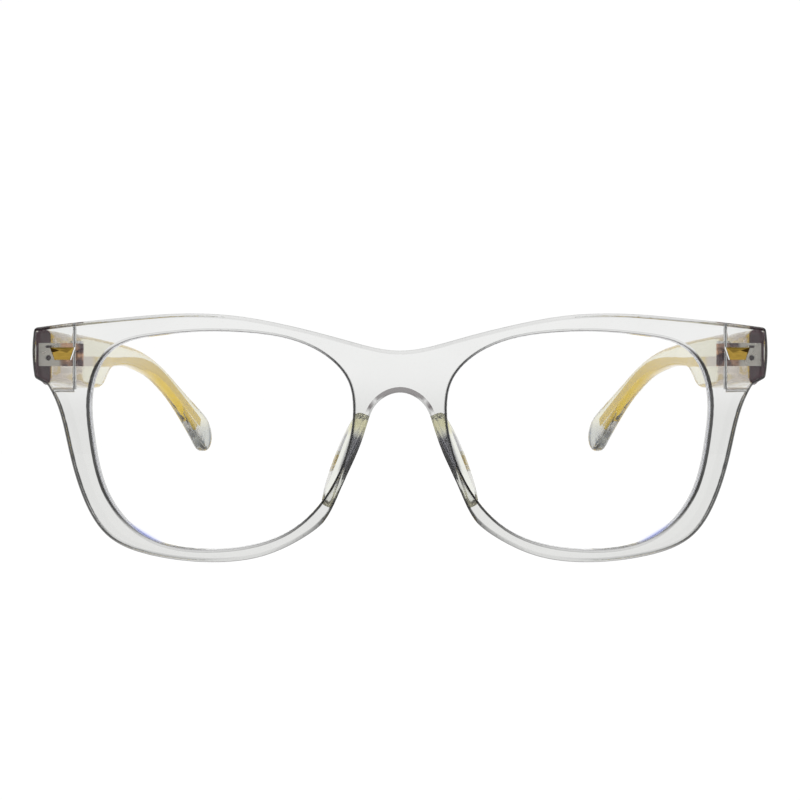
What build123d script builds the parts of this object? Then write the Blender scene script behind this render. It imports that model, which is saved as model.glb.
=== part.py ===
from build123d import *
from math import asin, cos, hypot, radians, sin, sqrt, tan
import os

# Clear full-rim glasses. Millimetres, +Z up, the front faces -Y, the temples run to +Y.
# Left and right are the wearer's: left is +X. Everything is drawn for the left side with
# the foremost point of the bridge at Y = 0, mirrored for the right side, and moved at the
# end so that the origin lies on the ground under the middle of the whole object.

DEPTH = 161.70           # bridge to temple tips
TALL = 60.0              # longer than any height, for cutting right through

# Front
WRAP_R = 340.0           # radius of the front face seen from above
FRONT_T = 4.4            # thickness of the rims
FRONT_EDGE_R = 0.8
BACK_EDGE_R = 0.6
RIM_EDGE_R = 0.5         # rounding of the lens openings
LUG_IN = 63.7            # inner side of the end-piece block
LUG_BACK = 14.6          # depth of the flat that the temple closes against
LUG_BOTTOM = 33.2
LUG_EDGE_R = 0.4
NOSE_FLARE = 14.0        # the nose side of the front opens out towards the back
NOSE_TRIM = 0.45         # taken off the rounded nose edge, which leaves it crisp
NOSE_FADE = 6.0, 18.0    # heights between which both of these grow from nothing
NOSE_STEPS = 36

# Lens and its groove
LENS_FRONT, LENS_BACK = 1.2, 3.2         # depths below the front face
TONGUE_FRONT, TONGUE_BACK = 1.7, 2.7
TONGUE_OUT = 0.5         # how far the lens edge reaches into the rim
OPENING_STEPS = 48
LENS_GAP = 0.05

# Hinge
AXIS_X, AXIS_Y = 63.75, 16.1
HINGE_LOW, HINGE_TOP = 37.8, 42.3
BARREL_R = 1.1
PIN_R = 0.6
RUN_GAP = 0.05           # running clearance round the pin and between the knuckles
MID_H = 1.5              # middle knuckle
PLATE_X0, PLATE_X1 = 65.4, 70.7
PLATE_T = 1.2
PLATE_HOLE_X, PLATE_HOLE_Z, PLATE_HOLE_R = 68.8, 39.4, 0.55
PLATE_SLOT_X, PLATE_SLOT_Z, PLATE_SLOT_L, PLATE_SLOT_H = 68.5, 41.6, 1.8, 0.5
POCKET_GAP = 0.03        # air round the metal let into the plastic
LEAF_Y0, LEAF_Y1 = 15.6, 24.8
LEAF_T = 1.0
LEAF_INSET = 0.2         # leaf height is this much less than the hinge at each end
HEAD_R, HEAD_H = 1.0, 0.5
SLOT_W, SLOT_D = 0.3, 0.25

# Temple
TEMPLE_GAP = 0.25        # air between the lug and the end of the temple
TEMPLE_EDGE_R = 1.2
CORE_T, CORE_H = 0.9, 2.0

# Stud on the end piece
STUD_X, STUD_Z = 65.5, 40.1
STUD_SINK = 0.8
STUD_RIM = 0.12          # height of its edge above the plastic
STUD_GAP = 0.04

# Nose pad
PAD_TOP, PAD_LOW = (7.2, 28.6), (14.2, 10.6)
PAD_DEPTH = 5.6
PAD_T = 2.4
PAD_SPLAY = 11.0
PAD_EDGE_R = 0.9


def sag(x):
    """How far the curved front has fallen back at distance x from the middle."""
    return WRAP_R - sqrt(WRAP_R**2 - x**2)


def behind(depth):
    """Everything further back than one depth below the front face."""
    return Pos(0, WRAP_R, TALL / 2) * Cylinder(WRAP_R - depth, 2 * TALL)


def shell(front, back):
    """Curved sheet between two depths below the front face."""
    return behind(front) - behind(back)


def from_front(face, length=30.0):
    """Push a front-view face (x, z) straight back from Y = 0."""
    return extrude(Plane.XZ * face, amount=-length)


def from_side(face):
    """Push a side-view face (y, z) out to the left."""
    return extrude(Plane.YZ * face, amount=90)


def from_above(face, low=0.0, high=TALL):
    """Raise a plan-view face (x, y) between two heights."""
    return extrude(Pos(0, 0, low) * face, amount=high - low)


def block(x0, x1, y0, y1, z0, z1):
    return Pos((x0 + x1) / 2, (y0 + y1) / 2, (z0 + z1) / 2) * Box(x1 - x0, y1 - y0, z1 - z0)


def other_side(shape):
    return mirror(shape, about=Plane.YZ)


def pair(shape):
    return shape + other_side(shape)


def mirrored_spline(points):
    """Spline through points that end on the centre line, and through their mirror images."""
    return Spline(points + [(-x, z) for x, z in reversed(points) if x])


def round_corner(face, x, z, radius):
    return fillet([v for v in face.vertices()
                   if hypot(abs(v.X) - x, v.Y - z) < 0.01], radius)


def edges_at_depth(solid, depth):
    """Edges that lie on the curved sheet at one depth below the front face."""
    def on_sheet(p):
        return abs(WRAP_R - hypot(p.X, p.Y - WRAP_R) - depth) < 0.001
    return [e for e in solid.edges() if all(on_sheet(e @ t) for t in (0.05, 0.5, 0.95))]


def edges_at_y(solid, y):
    return [e for e in solid.edges() if all(abs((e @ t).Y - y) < 0.001 for t in (0.05, 0.5, 0.95))]


# ---- front-view outlines ------------------------------------------------
brow = mirrored_spline([(71.3, 45.2), (62.5, 46.2), (54.2, 46.95), (46.3, 47.55), (38.6, 47.7),
                        (31.0, 47.15), (23.2, 45.75), (11.0, 42.7), (0, 40.5)])
rims = mirrored_spline([(68.6, 34.0), (66.3, 29.2), (64.5, 22.2), (61.6, 12.6), (56.6, 4.9),
                        (46.4, 0.9), (35.6, 0), (26.2, 1.25), (18.7, 4.65), (13.8, 8.65),
                        (10.8, 14.3), (7.9, 20.35), (5.8, 26.35), (4.75, 29.15), (3.05, 31.0),
                        (0, 32.05)])
end_side = ThreePointArc((71.3, 45.2), (71.7, 40.3), (71.2, 35.4))
end_foot = Line((71.2, 35.4), (68.6, 34.0))
outline = make_face([brow, rims, end_side, end_foot, other_side(end_side), other_side(end_foot)])
outline = round_corner(outline, 71.3, 45.2, 0.9)
outline = round_corner(outline, 71.2, 35.4, 0.9)
outline = round_corner(outline, 68.6, 34.0, 1.5)
# the part of the outline that rests on the nose
nose_arch = mirrored_spline([(18.7, 4.65), (13.8, 8.65), (10.8, 14.3), (7.9, 20.35), (5.8, 26.35),
                             (4.75, 29.15), (3.05, 31.0), (0, 32.05)])


def nose_gap(y):
    """Face of the gap for the nose at a depth y, wider towards the back."""
    low, high = NOSE_FADE
    points = []
    for i in range(NOSE_STEPS + 1):
        place, along = nose_arch @ (i / NOSE_STEPS), nose_arch % (i / NOSE_STEPS)
        share = min(max((place.Y - low) / (high - low), 0), 1)
        grow = share * (NOSE_TRIM + y * tan(radians(NOSE_FLARE)))
        points.append(place + Vector(along.Y, -along.X) * grow)
    first, last = points[0], points[-1]
    skirt = Polyline((last.X, last.Y), (last.X - 1, 0), (first.X + 1, 0), (first.X, first.Y))
    return Plane((0, y, 0), x_dir=(1, 0, 0), z_dir=(0, -1, 0)) * make_face([Spline(*points), skirt])


opening_edge = Spline((34.7, 44.3), (23.1, 43.2), (14.1, 39.5), (9.75, 34.4), (8.95, 30.3),
                      (9.5, 24.0), (12.2, 16.2), (20.1, 6.7), (35.5, 2.4), (49.4, 5.0),
                      (56.4, 12.4), (59.6, 24.0), (59.9, 33.0), (56.3, 40.5),
                      (46.8, 43.6), periodic=True)


def opening_grown(amount):
    """Face of the lens opening with its edge moved outwards by an amount."""
    points = []
    for i in range(OPENING_STEPS):
        along = opening_edge % (i / OPENING_STEPS)
        points.append(opening_edge @ (i / OPENING_STEPS) + Vector(along.Y, -along.X) * amount)
    return make_face(Spline(*points, periodic=True))


# ---- front ----------------------------------------------------------------
plate = from_front(outline)
lugs = plate & behind(0) & pair(block(LUG_IN, 80, 0, LUG_BACK, LUG_BOTTOM, TALL))
front = (plate & shell(0, FRONT_T)) + lugs
front = fillet(edges_at_depth(front, 0), FRONT_EDGE_R)
front = fillet(edges_at_y(front, LUG_BACK), LUG_EDGE_R)
front = fillet(edges_at_depth(front, FRONT_T), BACK_EDGE_R)

front -= loft([nose_gap(0), nose_gap(2 * FRONT_T)], ruled=True)

front -= pair(from_front(make_face(opening_edge)))
front = fillet([e for e in front.edges() if abs(e.length - opening_edge.length) < 1], RIM_EDGE_R)
groove = from_front(opening_grown(TONGUE_OUT + LENS_GAP))
front -= pair(groove & shell(TONGUE_FRONT - LENS_GAP, TONGUE_BACK + LENS_GAP))

# ---- lens -----------------------------------------------------------------
lens = from_front(opening_grown(-LENS_GAP)) & shell(LENS_FRONT, LENS_BACK)
lens += from_front(opening_grown(TONGUE_OUT)) & shell(TONGUE_FRONT, TONGUE_BACK)

# ---- nose pad ---------------------------------------------------------------
pad_drop = Vector(PAD_LOW[0] - PAD_TOP[0], 0, PAD_LOW[1] - PAD_TOP[1])
pad_l = pad_drop.length
pad_out = Vector(-pad_drop.Z, 0, pad_drop.X) / pad_l
pad_back = pad_out * sin(radians(PAD_SPLAY)) + Vector(0, cos(radians(PAD_SPLAY)), 0)
pad_mid = Vector((PAD_TOP[0] + PAD_LOW[0]) / 2, FRONT_T, (PAD_TOP[1] + PAD_LOW[1]) / 2)
pad_plane = Plane(origin=pad_mid, x_dir=pad_drop, z_dir=pad_drop.cross(pad_back))
half_moon = make_face([
    Polyline((pad_l / 2, 0), (pad_l / 2, -1), (-pad_l / 2, -1), (-pad_l / 2, 0)),
    Spline((-pad_l / 2, 0), (-pad_l / 4, 0.8 * PAD_DEPTH), (pad_l / 12, PAD_DEPTH),
           (pad_l / 3, 0.7 * PAD_DEPTH), (pad_l / 2, 0))])
pad = extrude(pad_plane * half_moon, amount=PAD_T / 2, both=True)
pad = fillet([e for e in pad.edges() if e.length > pad_l + 1], PAD_EDGE_R)
pad &= behind(FRONT_T)

# ---- stud -------------------------------------------------------------------
turn = asin(STUD_X / WRAP_R)
stud_plane = Plane(origin=(STUD_X, sag(STUD_X), STUD_Z), x_dir=(cos(turn), sin(turn), 0),
                   z_dir=(sin(turn), -cos(turn), 0))
stud_outline = make_face(Polyline((2.5, 1.2), (-2.45, 1.2), (-1.6, -1.2), (1.55, -1.2), close=True))
stud_base = extrude(Pos(0, 0, -STUD_SINK) * stud_outline, amount=STUD_SINK + STUD_RIM)
top_out, top_in = (2.5, 1.2, STUD_RIM), (-2.45, 1.2, STUD_RIM)
low_in, low_out = (-1.6, -1.2, STUD_RIM), (1.55, -1.2, STUD_RIM)
peak, knee_in, knee_out = (0.2, 0.55, 0.85), (-1.25, 0.15, 0.6), (1.75, 0.2, 0.6)
facets = [(top_out, peak, top_in), (top_out, knee_out, peak), (top_in, peak, knee_in),
          (top_out, low_out, knee_out), (top_in, knee_in, low_in), (low_out, low_in, peak),
          (knee_out, low_out, peak), (knee_in, peak, low_in),
          (top_out, top_in, low_in, low_out)]
stud_cap = Solid(Shell([Face(Wire.make_polygon(f)) for f in facets]))
stud = stud_plane * (stud_base + stud_cap)
stud_pocket = stud_plane * extrude(Pos(0, 0, -STUD_SINK - STUD_GAP) * offset(stud_outline, STUD_GAP),
                                   amount=3 * STUD_SINK)

# ---- hinge ------------------------------------------------------------------
def column(radius, low, high):
    return from_above(Pos(AXIS_X, AXIS_Y) * Circle(radius), low, high)


def prism(points, low, high):
    return from_above(make_face(Polyline(*points, close=True)), low, high)


mid_low = (HINGE_LOW + HINGE_TOP - MID_H) / 2
mid_top = mid_low + MID_H
front_arm = [(PLATE_X0 - 0.4, LUG_BACK - PLATE_T), (PLATE_X0 + 0.2, LUG_BACK - PLATE_T),
             (PLATE_X0 + 0.2, LUG_BACK), (AXIS_X + 0.9, AXIS_Y + 0.6), (AXIS_X, AXIS_Y),
             (AXIS_X - 0.9, AXIS_Y - 0.6)]
front_hinge = prism(front_arm, HINGE_LOW, HINGE_TOP) + column(BARREL_R, HINGE_LOW, HINGE_TOP)
front_hinge -= block(AXIS_X - 2, PLATE_X0 + 2, LUG_BACK - PLATE_T, AXIS_Y + 2,
                     mid_low - RUN_GAP, mid_top + RUN_GAP)
front_hinge += block(PLATE_X0, PLATE_X1, LUG_BACK - PLATE_T, LUG_BACK, HINGE_LOW, HINGE_TOP)
front_hinge -= column(PIN_R, 0, TALL)
front_hinge -= from_front(Pos(PLATE_HOLE_X, PLATE_HOLE_Z) * Circle(PLATE_HOLE_R))
front_hinge -= from_front(Pos(PLATE_SLOT_X, PLATE_SLOT_Z) * SlotOverall(PLATE_SLOT_L, PLATE_SLOT_H))
hinge_pocket = block(AXIS_X - 2, PLATE_X1 + POCKET_GAP, LUG_BACK - PLATE_T - POCKET_GAP,
                     LUG_BACK + 1, HINGE_LOW - POCKET_GAP, HINGE_TOP + POCKET_GAP)

screw = column(PIN_R, HINGE_LOW, HINGE_TOP) + column(HEAD_R, HINGE_TOP, HINGE_TOP + HEAD_H)
screw -= block(AXIS_X - HEAD_R, AXIS_X + HEAD_R, AXIS_Y - SLOT_W / 2, AXIS_Y + SLOT_W / 2,
               HINGE_TOP + HEAD_H - SLOT_D, TALL)

# ---- temple -------------------------------------------------------------------
temple_y0 = LUG_BACK + TEMPLE_GAP
# thickness seen from above: inner and outer faces
inner_face = [(68.4, temple_y0), (66.9, 22), (65.95, 29), (65.5, 38), (64.9, 60), (63.9, 84),
              (62.5, 104), (60.1, 123), (57.0, 143), (53.6, 165)]
outer_face = [(71.35, temple_y0), (71.0, 22), (70.6, 29), (70.1, 38), (68.7, 60), (67.4, 84),
              (65.8, 104), (63.3, 123), (60.2, 143), (56.9, 165)]
plan = make_face([Spline(*inner_face), Spline(*outer_face), Line(inner_face[0], outer_face[0]),
                  Line(inner_face[-1], outer_face[-1])])
# shape seen from the side, from the upper front corner round the tip to the lower one
side = make_face([Spline((temple_y0, 45.0), (40, 44.7), (63, 44.4), (84, 43.8), (96, 42.9),
                         (108, 41.1), (118, 38.7), (128, 35.6), (138, 32.4), (148, 29.2),
                         (155.5, 26.6), (160.3, 23.5), (161.7, 20.3), (159.9, 17.4),
                         (156, 16.6), (151, 18.6), (145, 21.9), (137, 26.0), (128, 30.2),
                         (118, 33.8), (108, 36.5), (96, 38.2), (84, 39.1), (72, 39.1),
                         (64, 38.7), (58.5, 37.8), (54, 35.9), (50, 34.2), (45, 33.7),
                         (36, 33.8), (temple_y0, 34.1)),
                  Line((temple_y0, 34.1), (temple_y0, 45.0))])
temple = from_side(side) & from_above(plan)
temple = fillet([e for e in temple.edges() if e.length > 20], TEMPLE_EDGE_R)

mid_face = [((a + c) / 2, (b + d) / 2) for (a, b), (c, d) in zip(inner_face, outer_face)]
core_run = Spline((27, 39.3), (50, 39.5), (68, 40.0), (82, 40.4), (95, 40.3), (108, 38.9),
                  (120, 35.8), (132, 31.6), (142, 27.9), (150, 24.8))
core = from_side(trace(core_run, CORE_H)) & from_above(trace(Spline(*mid_face), CORE_T))

leaf_x = inner_face[0][0]
knuckle_arm = [(AXIS_X - 0.6, AXIS_Y + 0.9), (leaf_x + LEAF_T / 2, AXIS_Y + 2.8),
               (leaf_x + LEAF_T / 2, LEAF_Y0), (leaf_x, LEAF_Y0),
               (AXIS_X + 0.6, AXIS_Y - 0.9)]
leaf = block(leaf_x, leaf_x + LEAF_T, LEAF_Y0, LEAF_Y1, HINGE_LOW + LEAF_INSET,
             HINGE_TOP - LEAF_INSET)
temple_hinge = prism(knuckle_arm, mid_low, mid_top) + column(BARREL_R, mid_low, mid_top) + leaf
temple_hinge -= column(PIN_R + RUN_GAP, 0, TALL)
leaf_pocket = block(leaf_x - 1, leaf_x + LEAF_T + POCKET_GAP, LEAF_Y0 - POCKET_GAP,
                    LEAF_Y1 + POCKET_GAP, HINGE_LOW + LEAF_INSET - POCKET_GAP,
                    HINGE_TOP - LEAF_INSET + POCKET_GAP)

temple = temple - leaf_pocket - core
front = front - pair(stud_pocket) - pair(hinge_pocket)

# ---- one file per node ----------------------------------------------------------
left = {"lens": lens, "nose_pad": pad, "front_stud": stud, "front_hinge": front_hinge,
        "hinge_screw": screw, "temple_hinge": temple_hinge, "temple_core": core,
        "temple": temple}
nodes = {"front_frame": front}
for name, solid in left.items():
    nodes[name + "_left"] = solid
    nodes[name + "_right"] = other_side(solid)

os.makedirs("parts", exist_ok=True)
for name, solid in nodes.items():
    export_step(Pos(0, -DEPTH / 2, 0) * solid, "parts/" + name + ".step")
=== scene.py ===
import math

import bmesh
import bpy
from mathutils import Matrix, Vector


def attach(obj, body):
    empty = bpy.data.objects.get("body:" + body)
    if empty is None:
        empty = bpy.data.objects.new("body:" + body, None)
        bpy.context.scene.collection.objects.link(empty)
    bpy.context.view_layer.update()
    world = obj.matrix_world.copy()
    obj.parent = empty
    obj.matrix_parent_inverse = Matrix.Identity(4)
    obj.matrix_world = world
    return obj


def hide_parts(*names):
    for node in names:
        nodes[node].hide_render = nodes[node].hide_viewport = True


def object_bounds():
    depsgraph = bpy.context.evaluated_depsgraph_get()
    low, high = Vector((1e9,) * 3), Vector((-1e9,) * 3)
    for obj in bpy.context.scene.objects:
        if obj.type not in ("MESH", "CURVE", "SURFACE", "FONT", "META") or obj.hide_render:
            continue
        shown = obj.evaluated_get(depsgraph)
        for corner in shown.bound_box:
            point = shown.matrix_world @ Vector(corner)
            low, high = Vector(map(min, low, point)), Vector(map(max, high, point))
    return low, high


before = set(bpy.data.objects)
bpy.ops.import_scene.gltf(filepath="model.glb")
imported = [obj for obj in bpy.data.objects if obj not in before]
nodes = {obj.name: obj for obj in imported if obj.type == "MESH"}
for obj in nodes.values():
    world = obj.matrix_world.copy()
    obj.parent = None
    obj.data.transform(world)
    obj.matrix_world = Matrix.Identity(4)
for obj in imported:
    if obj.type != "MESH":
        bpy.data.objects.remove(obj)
cad_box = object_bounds()
scene = bpy.context.scene
SIDES = ("left", "right")
FOREMOST = Vector(cad_box[0]).y
WRAP_R = 0.340                 # the front's curve seen from above

# spans over which a tint comes in, in metres; most are painted reflection and painted shade.
# X counts from the middle, Y from the foremost point and Z from the ground
GREY_RIM_Z = (0.037, 0.027)
SHEET_DEPTH = (0.0075, 0.0052)
REFLECTION_CRESCENT_WAY = (0.50, 0.86)    # outward and downward share of the way the painted reflection crescent faces
REFLECTION_CRESCENT_OUT = (0.0196, 0.0205)
TIP_REFLECTION_Z = (0.0265, 0.0215)
TIP_REFLECTION_Y = (0.100, 0.110)
PAD_TOP_Z = (0.0235, 0.0265)
PAD_REFLECTION_FOOT_Z = (0.0160, 0.0185)
PAD_REFLECTION_TOP_Z = (0.0255, 0.0235)
PAD_REFLECTION_SIDE_X = (0.0182, 0.0174)
FLANK_SLOPE = 0.346            # how far the nose flank leans out for each unit down
WIRE_END_REFLECTION_Y = (0.046, 0.040)
BARREL_REFLECTION_X = (0.0668, 0.0658)

# ---- node helpers ------------------------------------------------------------


def material(name):
    m = bpy.data.materials.new(name)
    m.use_nodes = True
    tree = m.node_tree
    tree.nodes.clear()
    out = tree.nodes.new("ShaderNodeOutputMaterial")
    shader = tree.nodes.new("ShaderNodeBsdfPrincipled")
    tree.links.new(shader.outputs[0], out.inputs["Surface"])
    return m, tree, shader, out


def inside(mat):
    """A material's node tree and its main shader."""
    tree = mat.node_tree
    return tree, next(n for n in tree.nodes if n.type == "BSDF_PRINCIPLED")


def noise(tree, scale, detail=2.0, stretch=(1, 1, 1)):
    where = tree.nodes.new("ShaderNodeTexCoord")
    mapping = tree.nodes.new("ShaderNodeMapping")
    mapping.inputs["Scale"].default_value = stretch
    tex = tree.nodes.new("ShaderNodeTexNoise")
    tex.inputs["Scale"].default_value = scale
    tex.inputs["Detail"].default_value = detail
    tree.links.new(where.outputs["Object"], mapping.inputs["Vector"])
    tree.links.new(mapping.outputs[0], tex.inputs["Vector"])
    return tex.outputs["Fac"]


def xyz(tree, kind):
    """The X, Y and Z of a kind of texture coordinate."""
    where = tree.nodes.new("ShaderNodeTexCoord")
    parts = tree.nodes.new("ShaderNodeSeparateXYZ")
    tree.links.new(where.outputs[kind], parts.inputs[0])
    return parts.outputs


def maths(tree, operation, *values):
    node = tree.nodes.new("ShaderNodeMath")
    node.operation = operation
    for i, value in enumerate(values):
        if isinstance(value, (int, float)):
            node.inputs[i].default_value = value
        else:
            tree.links.new(value, node.inputs[i])
    return node.outputs[0]


def product(tree, first, *others):
    for other in others:
        first = maths(tree, "MULTIPLY", first, other)
    return first


def ramp(tree, value, span, bottom=0.0, top=1.0, smooth=False):
    """Map a span of values on to bottom..top, held level beyond both ends."""
    node = tree.nodes.new("ShaderNodeMapRange")
    node.interpolation_type = "SMOOTHSTEP" if smooth else "LINEAR"
    node.inputs["From Min"].default_value, node.inputs["From Max"].default_value = span
    node.inputs["To Min"].default_value = bottom
    node.inputs["To Max"].default_value = top
    tree.links.new(value, node.inputs["Value"])
    return node.outputs[0]


def spread(tree, source, bottom, top):
    """Map a noise value, which stays near the middle, to a range."""
    return ramp(tree, source, (0.3, 0.7), bottom, top)


def place(tree, axis, span):
    """0 to 1 over a span of an axis of the object."""
    value = xyz(tree, "Object")[axis]
    if axis == "X":
        value = maths(tree, "ABSOLUTE", value)
    if axis == "Y":
        span = [FOREMOST + y for y in span]
    return ramp(tree, value, span, smooth=True)


def bump(tree, shader, source, strength, distance):
    node = tree.nodes.new("ShaderNodeBump")
    node.inputs["Strength"].default_value = strength
    node.inputs["Distance"].default_value = distance
    tree.links.new(source, node.inputs["Height"])
    tree.links.new(node.outputs[0], shader.inputs["Normal"])


def blend_colour(tree, factor, a, b):
    node = tree.nodes.new("ShaderNodeMix")
    node.data_type = "RGBA"
    for end, value in (("A", a), ("B", b)):
        if isinstance(value, tuple):
            node.inputs[end].default_value = (*value, 1)
        else:
            tree.links.new(value, node.inputs[end])
    tree.links.new(factor, node.inputs["Factor"])
    return node.outputs["Result"]


def tint_where(mat, amount, colour):
    """Lay a second colour over the base colour, by an amount."""
    tree, shader = inside(mat)
    base = shader.inputs["Base Color"]
    under = base.links[0].from_socket
    tree.links.new(blend_colour(tree, amount, under, colour), base)


# ---- clear plastic -------------------------------------------------------------


def painted_wall_masks(tree, flat_tone):
    """How much painted shade a cut edge of the curved sheet gets: in all, and in its roundings.
    """
    normal, spot = xyz(tree, "Normal"), xyz(tree, "Object")
    lean = product(tree, spot["X"], 1 / WRAP_R)
    facing = maths(tree, "ABSOLUTE", maths(
        tree, "SUBTRACT", product(tree, normal["X"], lean),
        product(tree, normal["Y"], maths(tree, "COSINE", lean))))
    rounding = tree.nodes.new("ShaderNodeValToRGB")
    stops = rounding.color_ramp.elements
    stops[0].position, stops[0].color = 0.10, (0.05, 0.05, 0.05, 1)
    stops[1].position, stops[1].color = 0.995, (0, 0, 0, 1)
    for position in (0.25, 0.96):
        stops.new(position).color = (1, 1, 1, 1)
    tree.links.new(facing, rounding.inputs[0])
    # 1 on an upright edge, 0 on a level one, however far the normal is turned forwards
    in_plane = maths(tree, "ADD", maths(tree, "POWER", normal["X"], 2.0),
                     maths(tree, "POWER", normal["Z"], 2.0))
    in_plane = maths(tree, "SQRT", maths(tree, "ADD", in_plane, 0.0001))
    upright = maths(tree, "DIVIDE", maths(tree, "ABSOLUTE", normal["X"]), in_plane)
    tone = ramp(tree, upright, (0.10, 0.75), flat_tone, 0.997, smooth=True)
    fall = product(tree, maths(tree, "POWER", spot["X"], 2.0), 1 / (2 * WRAP_R))
    depth = maths(tree, "SUBTRACT", maths(tree, "SUBTRACT", spot["Y"], FOREMOST), fall)
    overall = product(tree, tone, ramp(tree, depth, SHEET_DEPTH, 0.12))
    return overall, product(tree, overall, rounding.outputs[0])


def clear_plastic(name, face, cloud, painted_outline, absorb, density, ior=1.49, painted_outline_span=(0.35, 0.8),
                  wall=None, flat_tone=0.22, low_face=None):
    """Polished clear plastic: faint clouding, thin moulding waves, and a painted outline where
    seen
    edge on: a darker colour laid over the base colour, standing in for shade and tinted
    reflection.

    wall is a deeper tint for the cut edges, which turn away from the sheet's two faces: painted
    shade, and on the lens a painted blue reflection. It's full on upright edges, and flat_tone
    of it on level ones.
    """
    m, tree, shader, out = material(name)
    shader.inputs["Roughness"].default_value = 0.0
    shader.inputs["IOR"].default_value = ior
    shader.inputs["Transmission Weight"].default_value = 1.0
    wave = noise(tree, 90.0, 1.0)
    bump(tree, shader, wave, 0.04, 0.0004)
    body = blend_colour(tree, spread(tree, wave, 0.0, 1.0), face, cloud)
    if low_face:
        body = blend_colour(tree, place(tree, "Z", GREY_RIM_Z), body, low_face)
    # painted shade and reflection: an outline colour laid on where the surface is seen edge on
    angle = tree.nodes.new("ShaderNodeLayerWeight")
    angle.inputs["Blend"].default_value = 0.5
    painted_outline_mask = ramp(tree, angle.outputs["Facing"], painted_outline_span)
    # painted shade on the cut edges; on the lens it is a painted blue reflection
    if wall:
        overall, rounded = painted_wall_masks(tree, flat_tone)
        body = blend_colour(tree, rounded, body, wall)
        painted_outline_mask = product(tree, painted_outline_mask, overall)
    tree.links.new(blend_colour(tree, painted_outline_mask, body, painted_outline), shader.inputs["Base Color"])
    # light passes through to what it would otherwise shade
    path = tree.nodes.new("ShaderNodeLightPath")
    clear = tree.nodes.new("ShaderNodeBsdfTransparent")
    mix = tree.nodes.new("ShaderNodeMixShader")
    tree.links.new(path.outputs["Is Shadow Ray"], mix.inputs[0])
    tree.links.new(shader.outputs[0], mix.inputs[1])
    tree.links.new(clear.outputs[0], mix.inputs[2])
    tree.links.new(mix.outputs[0], out.inputs["Surface"])
    haze = tree.nodes.new("ShaderNodeVolumeAbsorption")
    haze.inputs["Color"].default_value = (*absorb, 1)
    haze.inputs["Density"].default_value = density
    tree.links.new(haze.outputs[0], out.inputs["Volume"])
    return m


# the acetate's dark outline and near-black wall are painted shade along its edges
acetate = clear_plastic("clear_acetate", (0.90, 0.90, 0.895), (0.87, 0.87, 0.865),
                        (0.03, 0.03, 0.027), (0.72, 0.74, 0.72), 40.0, painted_outline_span=(0.30, 0.65),
                        wall=(0.002, 0.002, 0.002), low_face=(0.77, 0.77, 0.76))

# painted reflection: a blue crescent at the lens's lower outer edge; its blue outline and wall
# colours are painted reflection too
lens_mat = clear_plastic("lens", (1.0, 1.0, 1.0), (0.995, 0.995, 1.0),
                         (0.45, 0.50, 0.75), (0.98, 0.99, 1.0), 2.0, 1.12,
                         wall=(0.16, 0.20, 0.85))
tree, shader = inside(lens_mat)
shader.inputs["Specular Tint"].default_value = (0.35, 0.42, 1.0, 1)
spot = xyz(tree, "Object")
out_x, down_z = REFLECTION_CRESCENT_WAY
outward = maths(tree, "SUBTRACT", product(tree, maths(tree, "ABSOLUTE", spot["X"]), out_x),
                product(tree, spot["Z"], down_z))
tint_where(lens_mat, ramp(tree, outward, REFLECTION_CRESCENT_OUT, smooth=True), (0.40, 0.46, 0.93))

# painted dark reflection on the turned-down tips: grey over them, darkest along their front
# edge
cream = clear_plastic("temple_acetate", (0.80, 0.79, 0.62), (0.76, 0.745, 0.57),
                      (0.70, 0.69, 0.54), (0.80, 0.70, 0.72), 22.0)
tree, shader = inside(cream)
shader.inputs["Specular Tint"].default_value = (1.0, 0.87, 0.50, 1)
forward_reflection_mask = ramp(tree, xyz(tree, "Normal")["Y"], (-0.15, -0.55))
tip_reflection = product(tree, place(tree, "Z", TIP_REFLECTION_Z), place(tree, "Y", TIP_REFLECTION_Y))
tint_where(cream, tip_reflection, (0.50, 0.52, 0.48))
tint_where(cream, product(tree, tip_reflection, forward_reflection_mask), (0.015, 0.028, 0.042))

# the pads are olive at the top; lower down, where they lie against the nose flank, they get a
# painted dark reflection
pad_clear = clear_plastic("clear_pad", (0.90, 0.91, 0.87), (0.86, 0.87, 0.82),
                          (0.45, 0.44, 0.40), (0.78, 0.77, 0.70), 60.0, 1.30)
tree, shader = inside(pad_clear)
tint_where(pad_clear, place(tree, "Z", PAD_TOP_Z), (0.72, 0.69, 0.44))
spot = xyz(tree, "Object")
from_flank = maths(tree, "ADD", maths(tree, "ABSOLUTE", spot["X"]),
                   product(tree, spot["Z"], FLANK_SLOPE))
pad_dark_reflection = product(tree, place(tree, "Z", PAD_REFLECTION_FOOT_Z), place(tree, "Z", PAD_REFLECTION_TOP_Z),
               ramp(tree, from_flank, PAD_REFLECTION_SIDE_X))
tint_where(pad_clear, pad_dark_reflection, (0.06, 0.06, 0.08))

# ---- metal and the mitre -------------------------------------------------------


def metal(name, colour, dark, rough, scale, stretch, strength, grazing=(1, 1, 1)):
    """Plated metal with fine polishing lines and slight colour variation."""
    m, tree, shader, _ = material(name)
    shader.inputs["Metallic"].default_value = 1.0
    shader.inputs["Specular Tint"].default_value = (*grazing, 1)
    grain = noise(tree, scale, 3.0, stretch)
    tree.links.new(blend_colour(tree, grain, dark, colour), shader.inputs["Base Color"])
    tree.links.new(spread(tree, grain, rough * 0.7, rough * 1.3), shader.inputs["Roughness"])
    bump(tree, shader, grain, strength, 0.00005)
    return m


# painted dark reflection: the stud's outward facets are darker
gold = metal("gold", (0.50, 0.33, 0.07), (0.22, 0.14, 0.025), 0.12, 900.0, (1, 1, 6), 0.15,
             (1.0, 0.85, 0.5))
tree, shader = inside(gold)
outward_facet_reflection = product(tree, xyz(tree, "Normal")["X"],
                     maths(tree, "SIGN", xyz(tree, "Object")["X"]))
tint_where(gold, ramp(tree, outward_facet_reflection, (0.30, 0.42)), (0.20, 0.12, 0.02))

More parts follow.
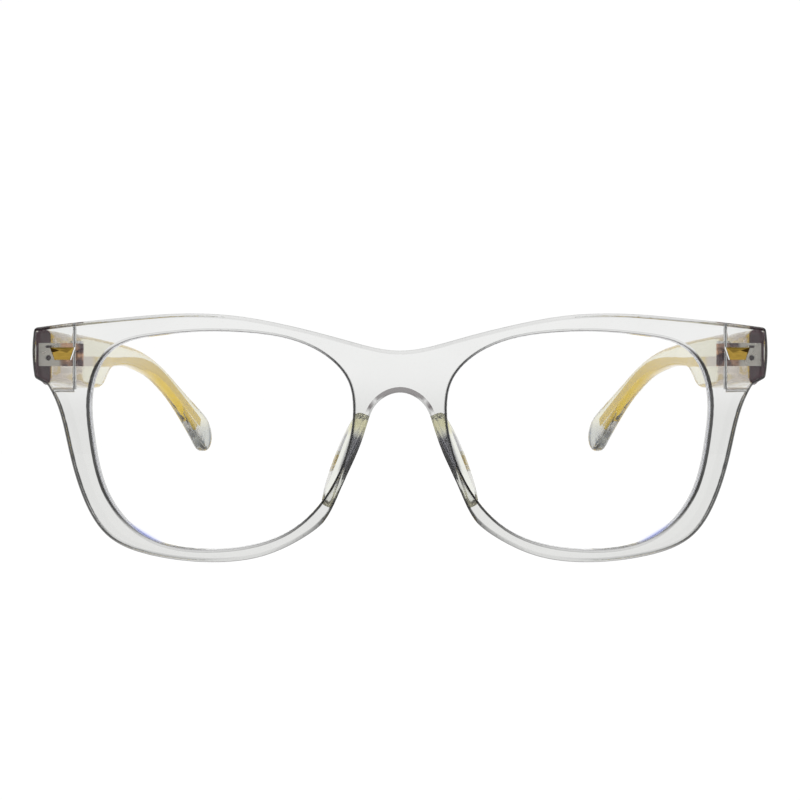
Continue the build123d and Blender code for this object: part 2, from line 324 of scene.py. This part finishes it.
# painted reflection: the wire's front end is a pale pinkish grey
wire = metal("gold_wire", (0.98, 0.76, 0.05), (0.70, 0.46, 0.03), 0.22, 1400.0, (8, 0.4, 8),
             0.2, (1.0, 0.80, 0.25))
tree, shader = inside(wire)
shader.inputs["Metallic"].default_value = 0.08
shader.inputs["IOR"].default_value = 1.05
shader.inputs["Specular IOR Level"].default_value = 0.0
tint_where(wire, place(tree, "Y", WIRE_END_REFLECTION_Y), (0.80, 0.72, 0.74))

# painted reflection: the hinge's barrels are coloured copper with darker bands
steel = metal("hinge_steel", (0.64, 0.62, 0.58), (0.30, 0.27, 0.23), 0.32, 500.0, (1, 8, 1),
              0.06)
tree, shader = inside(steel)
bands = noise(tree, 260.0, 2.0, (1, 1, 2.2))
barrel_reflection = blend_colour(tree, spread(tree, bands, -0.4, 1.4), (0.62, 0.36, 0.22),
                      (0.07, 0.035, 0.040))
tint_where(steel, place(tree, "X", BARREL_REFLECTION_X), barrel_reflection)

screw_steel = metal("screw_steel", (0.72, 0.70, 0.68), (0.55, 0.54, 0.52), 0.24, 900.0,
                    (1, 1, 1), 0.15)

# painted dark reflection: the temples' faces that look straight forwards are dark plum, with a
# mottle
mitre, tree, shader, _ = material("mitre_face")
mottle = noise(tree, 350.0, 3.0)
tree.links.new(blend_colour(tree, spread(tree, mottle, 0, 1), (0.075, 0.020, 0.034),
                            (0.048, 0.013, 0.022)), shader.inputs["Base Color"])
shader.inputs["Specular IOR Level"].default_value = 0.1
tree.links.new(spread(tree, mottle, 0.42, 0.54), shader.inputs["Roughness"])
bump(tree, shader, mottle, 0.1, 0.00005)

looks = {"front_frame": acetate, "lens": lens_mat, "nose_pad": pad_clear, "front_stud": gold,
         "front_hinge": steel, "temple_hinge": steel, "hinge_screw": screw_steel,
         "temple_core": wire, "temple": cream}


def dress(obj, mat):
    obj.data.materials.clear()
    obj.data.materials.append(mat)


for name, obj in nodes.items():
    dress(obj, looks[name.replace("_left", "").replace("_right", "")])

# ---- pieces shown in place of CAD nodes ----------------------------------------
PAD_CLEARANCE = 0.00003
CREASE_ANGLE = math.radians(30)
MITRE_NORMAL_Y = -0.98         # faces that look straight forwards


def copy_of(node, name):
    obj = node.copy()
    obj.data = node.data.copy()
    obj.name = name
    scene.collection.objects.link(obj)
    return obj


def shells_of(bm):
    """The mesh's separate closed surfaces, each a set of vertices."""
    loose, shells = set(bm.verts), []
    while loose:
        reach = [loose.pop()]
        shell = set(reach)
        while reach:
            for edge in reach.pop().link_edges:
                for vert in edge.verts:
                    if vert in loose:
                        loose.remove(vert)
                        shell.add(vert)
                        reach.append(vert)
        shells.append(shell)
    return shells


def without_channel(node, name, body):
    """A copy of a temple that is solid where its wire lies, with no film of air between."""
    obj = copy_of(node, name)
    mesh = obj.data
    bm = bmesh.new()
    bm.from_mesh(mesh)
    bmesh.ops.remove_doubles(bm, verts=bm.verts, dist=1e-7)
    outer = max(shells_of(bm), key=len)
    bmesh.ops.delete(bm, geom=[v for v in bm.verts if v not in outer], context="VERTS")
    bm.to_mesh(mesh)
    bm.free()
    mesh.shade_smooth()
    mesh.set_sharp_from_angle(angle=CREASE_ANGLE)
    # the faces that look straight forwards get the mitre's painted dark reflection
    mesh.materials.append(mitre)
    for face in mesh.polygons:
        face.material_index = 1 if face.normal.y < MITRE_NORMAL_Y else 0
    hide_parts(node.name)
    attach(obj, body)
    return obj


def clear_of_front(node, name):
    """A copy of a nose pad a hair behind the front, so that each keeps its own skin."""
    obj = copy_of(node, name)
    obj.data.transform(Matrix.Translation((0, PAD_CLEARANCE, 0)))
    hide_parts(node.name)
    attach(obj, "front")
    return obj


for side in SIDES:
    arm = without_channel(nodes["temple_" + side], "temple_plastic_" + side, side + "_arm")
    pad = clear_of_front(nodes["nose_pad_" + side], "nose_cushion_" + side)

# ---- floor, light, camera --------------------------------------------------------
FLOOR_SIZE = 0.9
VIEW_D = 0.310                 # from the foremost point of the front
VIEW_W = 0.152                 # width of the picture at that distance
EYE_LEVEL = 0.0311

floor_mat, tree, shader, _ = material("floor")
shader.inputs["Base Color"].default_value = (0.10, 0.10, 0.10, 1)
shader.inputs["Roughness"].default_value = 0.9
shader.inputs["Specular IOR Level"].default_value = 0.0
shader.inputs["Emission Color"].default_value = (1, 1, 1, 1)
shader.inputs["Emission Strength"].default_value = 0.97
half = FLOOR_SIZE / 2
floor_mesh = bpy.data.meshes.new("floor")
floor_mesh.from_pydata([(-half, -half, 0), (half, -half, 0), (half, half, 0), (-half, half, 0)],
                       [], [(0, 1, 2, 3)])
floor = bpy.data.objects.new("floor", floor_mesh)
floor.location = (0, 0.1, -0.0002)
scene.collection.objects.link(floor)
dress(floor, floor_mat)

world = bpy.data.worlds.new("studio")
scene.world = world
world.use_nodes = True
sky = world.node_tree
sky.nodes.clear()
sky_out = sky.nodes.new("ShaderNodeOutputWorld")
background = sky.nodes.new("ShaderNodeBackground")
sky.links.new(background.outputs[0], sky_out.inputs[0])
way = xyz(sky, "Generated")


def band(value, rise, fall):
    """1 between two soft ends."""
    return product(sky, ramp(sky, value, rise, smooth=True),
                   maths(sky, "SUBTRACT", 1.0, ramp(sky, value, fall, smooth=True)))


# darker bands, all well above the horizon, for the clear plastic to refract
mid_height = band(way["Z"], (0.24, 0.34), (0.50, 0.65))
flags = band(maths(sky, "ABSOLUTE", way["X"]), (0.48, 0.62), (0.90, 0.97))
room = ramp(sky, product(sky, way["Y"], -1.0), (0.35, 0.60), smooth=True)
ceiling = band(way["Z"], (0.42, 0.52), (0.75, 0.85))
around = maths(sky, "MAXIMUM", product(sky, flags, 0.9), product(sky, room, 0.45))
dark = maths(sky, "MAXIMUM", product(sky, mid_height, around), product(sky, ceiling, 0.70))
sky.links.new(blend_colour(sky, dark, (1.01, 1.01, 1.01), (0.055, 0.030, 0.035)),
              background.inputs["Color"])

cam_data = bpy.data.cameras.new("camera")
camera = bpy.data.objects.new("camera", cam_data)
scene.collection.objects.link(camera)
scene.camera = camera
camera.location = (0, FOREMOST - VIEW_D, EYE_LEVEL)
camera.rotation_euler = (math.radians(90), 0, 0)
cam_data.sensor_width = 36.0
cam_data.lens = cam_data.sensor_width * VIEW_D / VIEW_W
cam_data.clip_start = 0.01

scene.view_settings.view_transform = "Standard"
scene.view_settings.look = "None"
scene.cycles.max_bounces = 32
scene.cycles.transmission_bounces = 32
scene.cycles.glossy_bounces = 8
scene.cycles.transparent_max_bounces = 32
scene.cycles.caustics_refractive = True
scene.cycles.caustics_reflective = True
